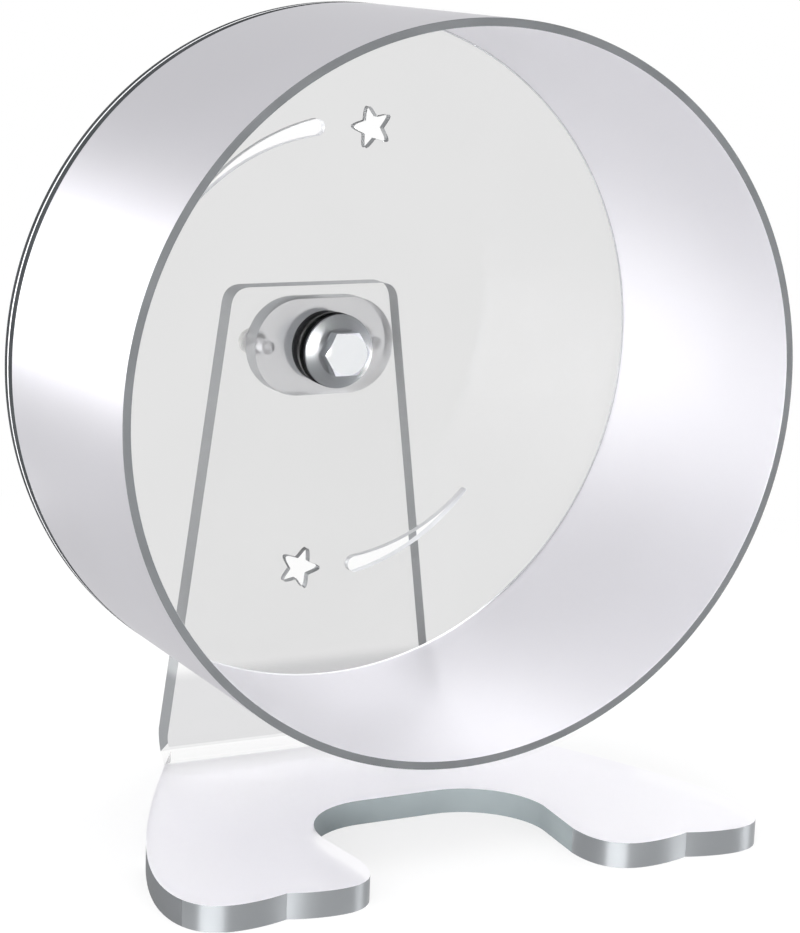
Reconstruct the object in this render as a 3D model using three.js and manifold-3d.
// Hamster running wheel: a drum with a clear back disc, turning on one ball bearing
// that sits in a plate on the upright of a bent acrylic stand.
// Millimetres, +Z up, +Y from the open mouth of the drum towards the upright.
// Origin: underside of the base, on the plane of symmetry, below the middle of the drum.

import * as THREE from 'three';
import { mergeVertices } from 'three/addons/utils/BufferGeometryUtils.js';
import Module from 'manifold-3d';

const wasm = await Module();
wasm.setup();

// Drum and back disc
const DRUM_DIAMETER = 210;
const DRUM_WALL = 2.4;
const DRUM_LENGTH = 90;
const DISC_THICKNESS = 3;

// Cut-outs in the disc: a star with a curved tail, twice, half a turn apart
const COMET_RIM_INSET = 39;
const COMET_COPIES = 2;
const TAIL_WIDTH = 5;
const TAIL_TIP_WIDTH = 0.6;
const TAIL_HEAD_ANGLE = 97.4;
const TAIL_TIP_ANGLE = 135.5;
const STAR_ANGLE = 81.6;
const STAR_TIP_RADIUS = 7.6;
const STAR_ROOT_RADIUS = 3.3;
const STAR_POINTS = 5;
const STAR_TURN = 33;
const STAR_ROUNDING = 2;

// Stand: one sheet, bent up behind the drum
const SHEET = 7.5;
const BEND_RADIUS = 4;
const DRUM_CLEARANCE = 21.25;
const BASE_WIDTH = 186;
const TOE_REACH = 22.5;
const TOE_CORNER = 18;
const NOTCH_DEPTH = 2.6;
const ARCH_WIDTH = 73;
const ARCH_MOUTH_WIDTH = 69.2;
const ARCH_DEPTH = 62;
const ARCH_CORNER = 24;
const HIP_PULL = 24;
const WAIST_PULL_OUT = 23;
const WAIST_PULL_FORWARD = 39;
const UPRIGHT_SIDE_ANGLE = 7.6;
const UPRIGHT_SIDE_MARGIN = 6.6;
const UPRIGHT_TOP_MARGIN = 2.9;
const UPRIGHT_CORNER = 5.5;

// Axle bolt and what it clamps
const BOLT_DIAMETER = 7.8;
const BOLT_CLEARANCE = 0.1;
const HEX_ACROSS_FLATS = 13;
const BOLT_HEAD_HEIGHT = 5.3;
const HEX_CHAMFER = 1;
const HEX_CHAMFER_ANGLE = 30;
const THREAD_PROUD = 2.65;
const THREAD_CHAMFER = 0.8;
const CUP_DIAMETER = 22.8;
const CUP_HEIGHT = 1.75;
const CUP_LIP = 0.7;
const RUBBER_DIAMETER = 23;
const RUBBER_THICKNESS = 1;
const HUB_STANDOFF = 6;
const BOSS_DIAMETER = 20;
const BOSS_FLANGE_DIAMETER = 23;
const BOSS_FLANGE_THICKNESS = 1.5;
const RUNNING_GAP = 0.5;
const WASHER_DIAMETER = 16;
const WASHER_THICKNESS = 1.6;
const NUT_HEIGHT = 8;
const NUT_COLLAR_HEIGHT = 2;
const NUT_COLLAR_WALL = 0.7;
const NUT_COLLAR_INSET = 0.6;

// Ball bearing, of the 8 x 22 x 7 size
const BEARING_DIAMETER = 22;
const BEARING_WIDTH = 7;
const BALL_DIAMETER = 3.97;
const BALL_COUNT = 7;
const BALL_CLEARANCE = 0.1;
const SHOULDER_DEPTH = 1.43;
const CAGE_WALL = 1.8;
const CAGE_RIM = 0.5;
const CAGE_CLEARANCE = 0.25;
const SEAL_THICKNESS = 0.4;
const SEAL_RECESS = 0.1;
const SEAL_LIP_GAP = 0.15;

// Bearing plate on the upright, and its two screws
const BEARING_RECESS = 0.25;
const PLATE_RIM = 4.1;
const PLATE_STRETCH = 17;
const PRESS_CLEARANCE = 0.1;
const SHAFT_HOLE_CLEARANCE = 0.4;
const SCREW_DIAMETER = 4;
const SCREW_CLEARANCE = 0.15;
const SCREW_END_DISTANCE = 5.25;
const SCREW_TIP_GAP = 0.4;
const PLATE_SKIN = 2;
const SCREW_HEAD_DIAMETER = 8;
const SCREW_HEAD_HEIGHT = 2.6;
const SCREW_HEAD_CHAMFER = 0.4;
const SCREW_SOCKET = 2.5;
const SCREW_SOCKET_DEPTH = 1.5;

// Fineness of round shapes
const DRUM_STEPS = 96;
const HUB_STEPS = 36;
const SCREW_STEPS = 18;
const ARC_STEPS = 12;
const BALL_STEPS = 14;
const GROOVE_STEPS = 6;
const CURVE_STEPS = 4;

// Places worked out from the sizes above
const DRUM_RADIUS = DRUM_DIAMETER / 2;
const AXLE_HEIGHT = SHEET + DRUM_CLEARANCE + DRUM_RADIUS;
const RIM_Y = -(DRUM_LENGTH + DISC_THICKNESS) / 2;
const DISC_FRONT = RIM_Y + DRUM_LENGTH;
const DISC_BACK = DISC_FRONT + DISC_THICKNESS;
const PLATE_THICKNESS = BEARING_WIDTH + BEARING_RECESS;
const PLATE_FRONT = DISC_BACK + HUB_STANDOFF;
const UPRIGHT_FRONT = PLATE_FRONT + PLATE_THICKNESS;
const UPRIGHT_BACK = UPRIGHT_FRONT + SHEET;
const BEARING_FRONT = UPRIGHT_FRONT - BEARING_WIDTH;
const RUBBER_FRONT = DISC_FRONT - RUBBER_THICKNESS;
const CUP_FRONT = RUBBER_FRONT - CUP_HEIGHT;
const WASHER_FRONT = UPRIGHT_BACK + RUNNING_GAP;
const NUT_FRONT = WASHER_FRONT + WASHER_THICKNESS;
const NUT_BACK = NUT_FRONT + NUT_HEIGHT;
const BOLT_END = NUT_BACK + THREAD_PROUD;

const BOLT_RADIUS = BOLT_DIAMETER / 2;
const BORE_RADIUS = BOLT_RADIUS + BOLT_CLEARANCE;
const BALL_RADIUS = BALL_DIAMETER / 2;
const PITCH_RADIUS = (BORE_RADIUS + BEARING_DIAMETER / 2) / 2;
const INNER_SHOULDER = PITCH_RADIUS - SHOULDER_DEPTH;
const OUTER_SHOULDER = PITCH_RADIUS + SHOULDER_DEPTH;
const SHAFT_HOLE_RADIUS = INNER_SHOULDER + SHAFT_HOLE_CLEARANCE;
const SPACER_RADIUS = INNER_SHOULDER - SHAFT_HOLE_CLEARANCE;
const PLATE_HEIGHT = BEARING_DIAMETER + 2 * PLATE_RIM;
const PLATE_LENGTH = PLATE_HEIGHT + PLATE_STRETCH;
const SCREW_X = PLATE_LENGTH / 2 - SCREW_END_DISTANCE;
const SCREW_HOLE_RADIUS = SCREW_DIAMETER / 2 + SCREW_CLEARANCE;
const SCREW_HOLE_END = PLATE_FRONT + PLATE_SKIN;
const UPRIGHT_TOP = AXLE_HEIGHT + PLATE_HEIGHT / 2 + UPRIGHT_TOP_MARGIN;
const COMET_RADIUS = DRUM_RADIUS - COMET_RIM_INSET;

// Finishes
const CLEAR_ACRYLIC = { color: 0xe4e6e8, roughness: 0.08, metalness: 0, transparent: true, opacity: 0.4 };
const SILVERED_ACRYLIC = { color: 0xd2d2d8, roughness: 0.2, metalness: 0.1 };
const BRIGHT_STEEL = { color: 0xd9dbde, roughness: 0.2, metalness: 1 };
const CHROME = { color: 0xf0f2f4, roughness: 0.06, metalness: 1 };
const BLACK_RUBBER = { color: 0x17181a, roughness: 0.75, metalness: 0 };
const BLACK_NYLON = { color: 0x1d1e20, roughness: 0.5, metalness: 0 };
const BRASS = { color: 0xb08a45, roughness: 0.35, metalness: 1 };
const WHITE_NYLON = { color: 0xe9e7df, roughness: 0.5, metalness: 0 };

// Frames that stand a flat outline up: seen from the front, and seen from the +X side
const X_AXIS = new THREE.Vector3(1, 0, 0);
const Y_AXIS = new THREE.Vector3(0, 1, 0);
const Z_AXIS = new THREE.Vector3(0, 0, 1);
const FROM_FRONT = new THREE.Matrix4().makeBasis(X_AXIS, Z_AXIS, new THREE.Vector3(0, -1, 0));
const FROM_SIDE = new THREE.Matrix4().makeBasis(Y_AXIS, Z_AXIS, X_AXIS);

const radians = THREE.MathUtils.degToRad;

// A point at a radius and an angle in degrees
function polar(radius, degrees) {
  const angle = radians(degrees);
  return new THREE.Vector2(radius * Math.cos(angle), radius * Math.sin(angle));
}

// A closed mesh as a solid that can be joined and cut
function solidOf(geometry) {
  const bare = geometry.clone();
  bare.deleteAttribute('normal');
  bare.deleteAttribute('uv');
  const merged = mergeVertices(bare);
  return new wasm.Manifold(new wasm.Mesh({
    numProp: 3,
    vertProperties: merged.attributes.position.array,
    triVerts: Uint32Array.from(merged.index.array),
  }));
}

// A solid back as a mesh
function geometryOf(solid) {
  const mesh = solid.getMesh();
  const geometry = new THREE.BufferGeometry();
  geometry.setAttribute('position', new THREE.BufferAttribute(mesh.vertProperties, 3));
  geometry.setIndex(new THREE.BufferAttribute(mesh.triVerts, 1));
  geometry.computeVertexNormals();
  return geometry;
}

// A body cut by a list of tools
function cut(body, tools) {
  return geometryOf(tools.reduce((rest, tool) => rest.subtract(solidOf(tool)), solidOf(body)));
}

// A straight-sided solid of an outline in the XY plane, from z 0 up to a height
function slab(outline, height) {
  return new THREE.ExtrudeGeometry(outline, { depth: height, bevelEnabled: false });
}

// The same, standing up: the outline is seen from the front, and y runs from front to back
function panel(outline, front, back) {
  return slab(outline, back - front).applyMatrix4(FROM_FRONT).translate(0, back, 0);
}

// A full ring or disc turned about the Y axis from [radius, y] corners, anticlockwise
function turned(corners, steps) {
  const points = corners.map(([radius, y]) => new THREE.Vector2(radius, y));
  points.push(points[0].clone());
  return new THREE.LatheGeometry(points, steps);
}

// A tube about the Y axis
function tube(inner, outer, front, back, steps) {
  return turned([[inner, front], [outer, front], [outer, back], [inner, back]], steps);
}

// A plain rod along the Y axis
function rod(radius, front, back, steps) {
  const geometry = new THREE.CylinderGeometry(radius, radius, back - front, steps);
  return geometry.translate(0, (front + back) / 2, 0);
}

// A circle outline
function circle(radius, steps) {
  const turn = 360 / steps;
  return Array.from({ length: steps }, (_, i) => polar(radius, i * turn));
}

// A hexagon outline with a corner on the X axis, by its size across flats
function hexagon(acrossFlats) {
  return new THREE.Shape(circle(acrossFlats / Math.sqrt(3), 6));
}

// A closed outline through tips and roots in turn, each tip rounded off over a length of its sides
function softTipped(corners, length) {
  const path = new THREE.Path();
  corners.forEach((corner, i) => {
    if (i % 2 === 1) {
      path.lineTo(corner.x, corner.y);
      return;
    }
    const before = corners[(i + corners.length - 1) % corners.length];
    const after = corners[(i + 1) % corners.length];
    const start = corner.clone().lerp(before, length / corner.distanceTo(before));
    const end = corner.clone().lerp(after, length / corner.distanceTo(after));
    if (i === 0) path.moveTo(start.x, start.y);
    else path.lineTo(start.x, start.y);
    path.quadraticCurveTo(corner.x, corner.y, end.x, end.y);
  });
  path.closePath();
  return path.getPoints(CURVE_STEPS);
}

// One named piece
function piece(parent, name, geometry, finish, place = [0, 0, 0]) {
  const mesh = new THREE.Mesh(geometry, new THREE.MeshStandardMaterial(finish));
  mesh.name = name;
  mesh.position.set(...place);
  parent.add(mesh);
}

// A closed outline that is the same on both sides of the Y axis, from its right half
function mirrored(half) {
  const right = half.getPoints(ARC_STEPS);
  const left = right.map((point) => new THREE.Vector2(-point.x, point.y)).reverse();
  return new THREE.Shape([...right, ...left]);
}

// Half width of the upright at a height: it grows evenly downwards
function uprightHalfWidth(z) {
  const atAxle = PLATE_LENGTH / 2 + UPRIGHT_SIDE_MARGIN;
  return atAxle + (AXLE_HEIGHT - z) * Math.tan(radians(UPRIGHT_SIDE_ANGLE));
}

// Side view of the stand: base, bend and upright as one strip of even thickness
function standProfile(front) {
  const bendStart = UPRIGHT_FRONT - BEND_RADIUS;
  const bendTop = SHEET + BEND_RADIUS;
  const shape = new THREE.Shape();
  shape.moveTo(front, 0);
  shape.lineTo(bendStart, 0);
  shape.absarc(bendStart, bendTop, BEND_RADIUS + SHEET, -Math.PI / 2, 0, false);
  shape.lineTo(UPRIGHT_BACK, UPRIGHT_TOP);
  shape.lineTo(UPRIGHT_FRONT, UPRIGHT_TOP);
  shape.lineTo(UPRIGHT_FRONT, bendTop);
  shape.absarc(bendStart, bendTop, BEND_RADIUS, 0, -Math.PI / 2, true);
  shape.lineTo(front, SHEET);
  shape.closePath();
  return shape;
}

// Plan of the base: waist at the bend, wide hips, and two round toes on each side of an arch
function basePlan(front) {
  const hip = BASE_WIDTH / 2;
  const arch = ARCH_WIDTH / 2;
  const mouth = ARCH_MOUTH_WIDTH / 2;
  const notch = (hip + mouth) / 2;
  const toe = (hip - mouth) / 4;
  const waist = uprightHalfWidth(SHEET);
  const bendStart = UPRIGHT_FRONT - BEND_RADIUS;
  const archTop = front + ARCH_DEPTH;
  const half = new THREE.Path();
  half.moveTo(waist, UPRIGHT_BACK);
  half.lineTo(waist, bendStart);
  half.bezierCurveTo(
    waist + WAIST_PULL_OUT, bendStart - WAIST_PULL_FORWARD,
    hip, front + TOE_CORNER + HIP_PULL,
    hip, front + TOE_CORNER,
  );
  half.quadraticCurveTo(hip, front, notch + toe, front);
  half.quadraticCurveTo(notch + toe / 2, front, notch, front + NOTCH_DEPTH);
  half.quadraticCurveTo(notch - toe / 2, front, notch - toe, front);
  half.quadraticCurveTo(mouth, front, mouth, front + TOE_CORNER);
  half.lineTo(arch, archTop - ARCH_CORNER);
  half.absarc(arch - ARCH_CORNER, archTop - ARCH_CORNER, ARCH_CORNER, 0, Math.PI / 2, false);
  return mirrored(half);
}

// Front view of the stand: full width up to the base's top, then the tapered upright
function standFront() {
  const wide = BASE_WIDTH;
  const waist = uprightHalfWidth(SHEET);
  const top = uprightHalfWidth(UPRIGHT_TOP);
  const shoulder = UPRIGHT_TOP - UPRIGHT_CORNER;
  const half = new THREE.Path();
  half.moveTo(wide, -SHEET);
  half.lineTo(wide, SHEET);
  half.lineTo(waist, SHEET);
  half.lineTo(uprightHalfWidth(shoulder), shoulder);
  half.quadraticCurveTo(top, UPRIGHT_TOP, top - UPRIGHT_CORNER, UPRIGHT_TOP);
  return mirrored(half);
}

// Holes through the upright: the turning shaft's in the middle, a screw's on each side
function uprightHoles() {
  const front = UPRIGHT_FRONT - SHEET;
  const back = UPRIGHT_BACK + SHEET;
  const shaft = rod(SHAFT_HOLE_RADIUS, front, back, HUB_STEPS).translate(0, 0, AXLE_HEIGHT);
  const screws = [-SCREW_X, SCREW_X].map((x) => (
    rod(SCREW_HOLE_RADIUS, front, back, SCREW_STEPS).translate(x, 0, AXLE_HEIGHT)
  ));
  return [shaft, ...screws];
}

function bentStand() {
  const front = RIM_Y - TOE_REACH;
  const strip = slab(standProfile(front - TOE_REACH), 2 * BASE_WIDTH);
  strip.applyMatrix4(FROM_SIDE).translate(-BASE_WIDTH, 0, 0);
  const plan = slab(basePlan(front), 2 * UPRIGHT_TOP).translate(0, 0, -SHEET);
  const outline = panel(standFront(), front - TOE_REACH, UPRIGHT_BACK + SHEET);
  const blank = solidOf(strip).intersect(solidOf(plan)).intersect(solidOf(outline));
  return cut(geometryOf(blank), uprightHoles());
}

// Obround plate with the bearing's seat and two blind screw holes at the back
function bearingPlate() {
  const end = PLATE_HEIGHT / 2;
  const offset = PLATE_STRETCH / 2;
  const outline = new THREE.Path();
  outline.absarc(offset, 0, end, -Math.PI / 2, Math.PI / 2, false);
  outline.absarc(-offset, 0, end, Math.PI / 2, 3 * Math.PI / 2, false);
  const shape = new THREE.Shape(outline.getPoints(ARC_STEPS));
  const seat = BEARING_DIAMETER / 2 + PRESS_CLEARANCE;
  shape.holes.push(new THREE.Path(circle(seat, HUB_STEPS)));
  const holes = [-SCREW_X, SCREW_X].map((x) => (
    rod(SCREW_HOLE_RADIUS, SCREW_HOLE_END, UPRIGHT_BACK, SCREW_STEPS).translate(x, 0, 0)
  ));
  return cut(panel(shape, PLATE_FRONT, UPRIGHT_FRONT), holes);
}

// Socket-head screw driven from behind the upright into the plate
function plateScrew() {
  const tip = SCREW_HOLE_END + SCREW_TIP_GAP;
  const headBack = UPRIGHT_BACK + SCREW_HEAD_HEIGHT;
  const shank = SCREW_DIAMETER / 2;
  const head = SCREW_HEAD_DIAMETER / 2;
  const body = turned([
    [0, tip],
    [shank, tip],
    [shank, UPRIGHT_BACK],
    [head, UPRIGHT_BACK],
    [head, headBack - SCREW_HEAD_CHAMFER],
    [head - SCREW_HEAD_CHAMFER, headBack],
    [0, headBack],
  ], SCREW_STEPS);
  const socket = panel(hexagon(SCREW_SOCKET), headBack - SCREW_SOCKET_DEPTH, headBack + SCREW_SOCKET_DEPTH);
  return cut(body, [socket]);
}

// Five-pointed star with soft tips, centred on the middle line of the tail
function starOutline(turn) {
  const centre = polar(COMET_RADIUS + TAIL_WIDTH / 2, STAR_ANGLE + turn);
  const step = 180 / STAR_POINTS;
  const corners = Array.from({ length: 2 * STAR_POINTS }, (_, i) => {
    const radius = i % 2 === 0 ? STAR_TIP_RADIUS : STAR_ROOT_RADIUS;
    return polar(radius, STAR_TURN + turn + i * step).add(centre);
  });
  return new THREE.Path(softTipped(corners, STAR_ROUNDING));
}

// Tail that follows the rim: a round head, narrowing along its outer edge to a thin tip
function tailOutline(turn) {
  const head = TAIL_HEAD_ANGLE + turn;
  const tip = TAIL_TIP_ANGLE + turn;
  const halfWidth = TAIL_WIDTH / 2;
  const points = [];
  for (let i = 0; i <= ARC_STEPS; i += 1) {
    const width = THREE.MathUtils.lerp(TAIL_WIDTH, TAIL_TIP_WIDTH, i / ARC_STEPS);
    points.push(polar(COMET_RADIUS + width, THREE.MathUtils.lerp(head, tip, i / ARC_STEPS)));
  }
  for (let i = ARC_STEPS; i >= 0; i -= 1) {
    points.push(polar(COMET_RADIUS, THREE.MathUtils.lerp(head, tip, i / ARC_STEPS)));
  }
  const centre = polar(COMET_RADIUS + halfWidth, head);
  for (let i = 1; i < ARC_STEPS; i += 1) {
    points.push(polar(halfWidth, head - 180 + i * 180 / ARC_STEPS).add(centre));
  }
  return new THREE.Path(points);
}

function backDisc() {
  const shape = new THREE.Shape(circle(DRUM_RADIUS, DRUM_STEPS));
  shape.holes.push(new THREE.Path(circle(BORE_RADIUS, HUB_STEPS)));
  for (let i = 0; i < COMET_COPIES; i += 1) {
    const turn = i * 360 / COMET_COPIES;
    shape.holes.push(starOutline(turn), tailOutline(turn));
  }
  return panel(shape, DISC_FRONT, DISC_BACK);
}

// Hexagonal bar with its front corners chamfered
function hexBar(front, back) {
  const corner = HEX_ACROSS_FLATS / Math.sqrt(3);
  const face = corner - HEX_CHAMFER;
  const clear = corner + HEX_CHAMFER;
  const chamferDepth = (clear - face) * Math.tan(radians(HEX_CHAMFER_ANGLE));
  const cone = [[0, front], [face, front], [clear, front + chamferDepth], [clear, back], [0, back]];
  const bar = solidOf(panel(hexagon(HEX_ACROSS_FLATS), front, back));
  return bar.intersect(solidOf(turned(cone, HUB_STEPS)));
}

function axleBolt() {
  const head = hexBar(CUP_FRONT - BOLT_HEAD_HEIGHT, CUP_FRONT);
  const shank = turned([
    [0, CUP_FRONT - BOLT_HEAD_HEIGHT / 2],
    [BOLT_RADIUS, CUP_FRONT - BOLT_HEAD_HEIGHT / 2],
    [BOLT_RADIUS, BOLT_END - THREAD_CHAMFER],
    [BOLT_RADIUS - THREAD_CHAMFER, BOLT_END],
    [0, BOLT_END],
  ], HUB_STEPS);
  return geometryOf(head.add(solidOf(shank)));
}

// Conical washer: a flat seat for the bolt head, sloping back to a thin lip
function cupWasher() {
  const seat = HEX_ACROSS_FLATS / Math.sqrt(3);
  const rim = CUP_DIAMETER / 2;
  return turned([
    [BORE_RADIUS, CUP_FRONT],
    [seat, CUP_FRONT],
    [rim, RUBBER_FRONT - CUP_LIP],
    [rim, RUBBER_FRONT],
    [BORE_RADIUS, RUBBER_FRONT],
  ], HUB_STEPS);
}

// Boss behind the disc, with a nose that reaches the bearing's inner race
function hubBoss() {
  const flangeBack = DISC_BACK + BOSS_FLANGE_THICKNESS;
  const bossBack = PLATE_FRONT - RUNNING_GAP;
  return turned([
    [BORE_RADIUS, DISC_BACK],
    [BOSS_FLANGE_DIAMETER / 2, DISC_BACK],
    [BOSS_FLANGE_DIAMETER / 2, flangeBack],
    [BOSS_DIAMETER / 2, flangeBack],
    [BOSS_DIAMETER / 2, bossBack],
    [SPACER_RADIUS, bossBack],
    [SPACER_RADIUS, BEARING_FRONT],
    [BORE_RADIUS, BEARING_FRONT],
  ], HUB_STEPS);
}

// Lock nut: a hexagon with a round collar that holds a plastic ring at its back
function lockNut() {
  const collarFront = NUT_BACK - NUT_COLLAR_HEIGHT;
  const collar = HEX_ACROSS_FLATS / 2 - NUT_COLLAR_INSET;
  const hex = hexBar(NUT_FRONT, collarFront);
  const rim = rod(collar, collarFront - NUT_COLLAR_INSET, NUT_BACK, HUB_STEPS);
  const bore = rod(BORE_RADIUS, NUT_FRONT - NUT_HEIGHT, NUT_BACK + NUT_HEIGHT, HUB_STEPS);
  const pocket = rod(collar - NUT_COLLAR_WALL, collarFront, NUT_BACK + NUT_HEIGHT, HUB_STEPS);
  return cut(geometryOf(hex.add(solidOf(rim))), [bore, pocket]);
}

function lockNutInsert() {
  const outer = HEX_ACROSS_FLATS / 2 - NUT_COLLAR_INSET - NUT_COLLAR_WALL - BOLT_CLEARANCE;
  const front = NUT_BACK - NUT_COLLAR_HEIGHT;
  return tube(BORE_RADIUS, outer, front, NUT_BACK - BOLT_CLEARANCE, HUB_STEPS);
}

// Corners along a race's groove, from its front edge to its back edge
// side is -1 for the inner race, whose groove faces out, and 1 for the outer race
function grooveCorners(side) {
  const middle = BEARING_FRONT + BEARING_WIDTH / 2;
  const radius = BALL_RADIUS + BALL_CLEARANCE;
  const reach = Math.acos(SHOULDER_DEPTH / radius);
  return Array.from({ length: GROOVE_STEPS + 1 }, (_, i) => {
    const angle = THREE.MathUtils.lerp(-reach, reach, i / GROOVE_STEPS);
    return [PITCH_RADIUS + side * radius * Math.cos(angle), middle + radius * Math.sin(angle)];
  });
}

function innerRace() {
  return turned([
    [BORE_RADIUS, BEARING_FRONT],
    [INNER_SHOULDER, BEARING_FRONT],
    ...grooveCorners(-1),
    [INNER_SHOULDER, UPRIGHT_FRONT],
    [BORE_RADIUS, UPRIGHT_FRONT],
  ], HUB_STEPS);
}

function outerRace() {
  const rim = BEARING_DIAMETER / 2;
  return turned([
    [rim, BEARING_FRONT],
    [rim, UPRIGHT_FRONT],
    [OUTER_SHOULDER, UPRIGHT_FRONT],
    ...grooveCorners(1).reverse(),
    [OUTER_SHOULDER, BEARING_FRONT],
  ], HUB_STEPS);
}

// Where each ball sits round the axle
function ballPlaces() {
  const middle = BEARING_FRONT + BEARING_WIDTH / 2;
  return Array.from({ length: BALL_COUNT }, (_, i) => {
    const spot = polar(PITCH_RADIUS, i * 360 / BALL_COUNT);
    return [spot.x, middle, spot.y];
  });
}

// Cage: a ring with one round window for each ball
function ballCage() {
  const middle = BEARING_FRONT + BEARING_WIDTH / 2;
  const window = BALL_RADIUS + CAGE_CLEARANCE;
  const reach = window + CAGE_RIM;
  const inner = PITCH_RADIUS - CAGE_WALL / 2;
  const ring = tube(inner, inner + CAGE_WALL, middle - reach, middle + reach, HUB_STEPS);
  const windows = ballPlaces().map((place) => (
    new THREE.SphereGeometry(window, BALL_STEPS, BALL_STEPS / 2).translate(...place)
  ));
  return cut(ring, windows);
}

function seal(front) {
  const inner = INNER_SHOULDER + SEAL_LIP_GAP;
  const outer = OUTER_SHOULDER - SEAL_RECESS;
  return tube(inner, outer, front, front + SEAL_THICKNESS, HUB_STEPS);
}

const hamsterWheel = new THREE.Group();

const stand = new THREE.Group();
hamsterWheel.add(stand);
piece(stand, 'bent_stand', bentStand(), CLEAR_ACRYLIC);
piece(stand, 'bearing_plate', bearingPlate(), CLEAR_ACRYLIC, [0, 0, AXLE_HEIGHT]);
piece(stand, 'plate_screw_left', plateScrew(), WHITE_NYLON, [-SCREW_X, 0, AXLE_HEIGHT]);
piece(stand, 'plate_screw_right', plateScrew(), WHITE_NYLON, [SCREW_X, 0, AXLE_HEIGHT]);

const wheel = new THREE.Group();
wheel.position.z = AXLE_HEIGHT;
hamsterWheel.add(wheel);
const drumBore = DRUM_RADIUS - DRUM_WALL;
piece(wheel, 'drum_wall', tube(drumBore, DRUM_RADIUS, RIM_Y, DISC_FRONT, DRUM_STEPS), SILVERED_ACRYLIC);
piece(wheel, 'back_disc', backDisc(), CLEAR_ACRYLIC);
piece(wheel, 'axle_bolt', axleBolt(), BRIGHT_STEEL);
piece(wheel, 'cup_washer', cupWasher(), CHROME);
const rubberWasher = tube(BORE_RADIUS, RUBBER_DIAMETER / 2, RUBBER_FRONT, DISC_FRONT, HUB_STEPS);
piece(wheel, 'rubber_washer', rubberWasher, BLACK_RUBBER);
piece(wheel, 'hub_boss', hubBoss(), BLACK_NYLON);
const rearSpacer = tube(BORE_RADIUS, SPACER_RADIUS, UPRIGHT_FRONT, WASHER_FRONT, HUB_STEPS);
piece(wheel, 'rear_spacer', rearSpacer, BRIGHT_STEEL);
const rearWasher = tube(BORE_RADIUS, WASHER_DIAMETER / 2, WASHER_FRONT, NUT_FRONT, HUB_STEPS);
piece(wheel, 'rear_washer', rearWasher, BRIGHT_STEEL);
piece(wheel, 'lock_nut', lockNut(), BRIGHT_STEEL);
piece(wheel, 'lock_nut_insert', lockNutInsert(), WHITE_NYLON);

const bearing = new THREE.Group();
bearing.position.z = AXLE_HEIGHT;
hamsterWheel.add(bearing);
piece(bearing, 'bearing_outer_race', outerRace(), BRIGHT_STEEL);
piece(bearing, 'bearing_inner_race', innerRace(), BRIGHT_STEEL);
ballPlaces().forEach((place, i) => {
  const ball = new THREE.SphereGeometry(BALL_RADIUS, BALL_STEPS, BALL_STEPS / 2);
  piece(bearing, `bearing_ball_${i + 1}`, ball, CHROME, place);
});
piece(bearing, 'ball_cage', ballCage(), BRASS);
piece(bearing, 'bearing_front_seal', seal(BEARING_FRONT + SEAL_RECESS), BLACK_RUBBER);
piece(bearing, 'bearing_rear_seal', seal(UPRIGHT_FRONT - SEAL_RECESS - SEAL_THICKNESS), BLACK_RUBBER);

export default hamsterWheel;
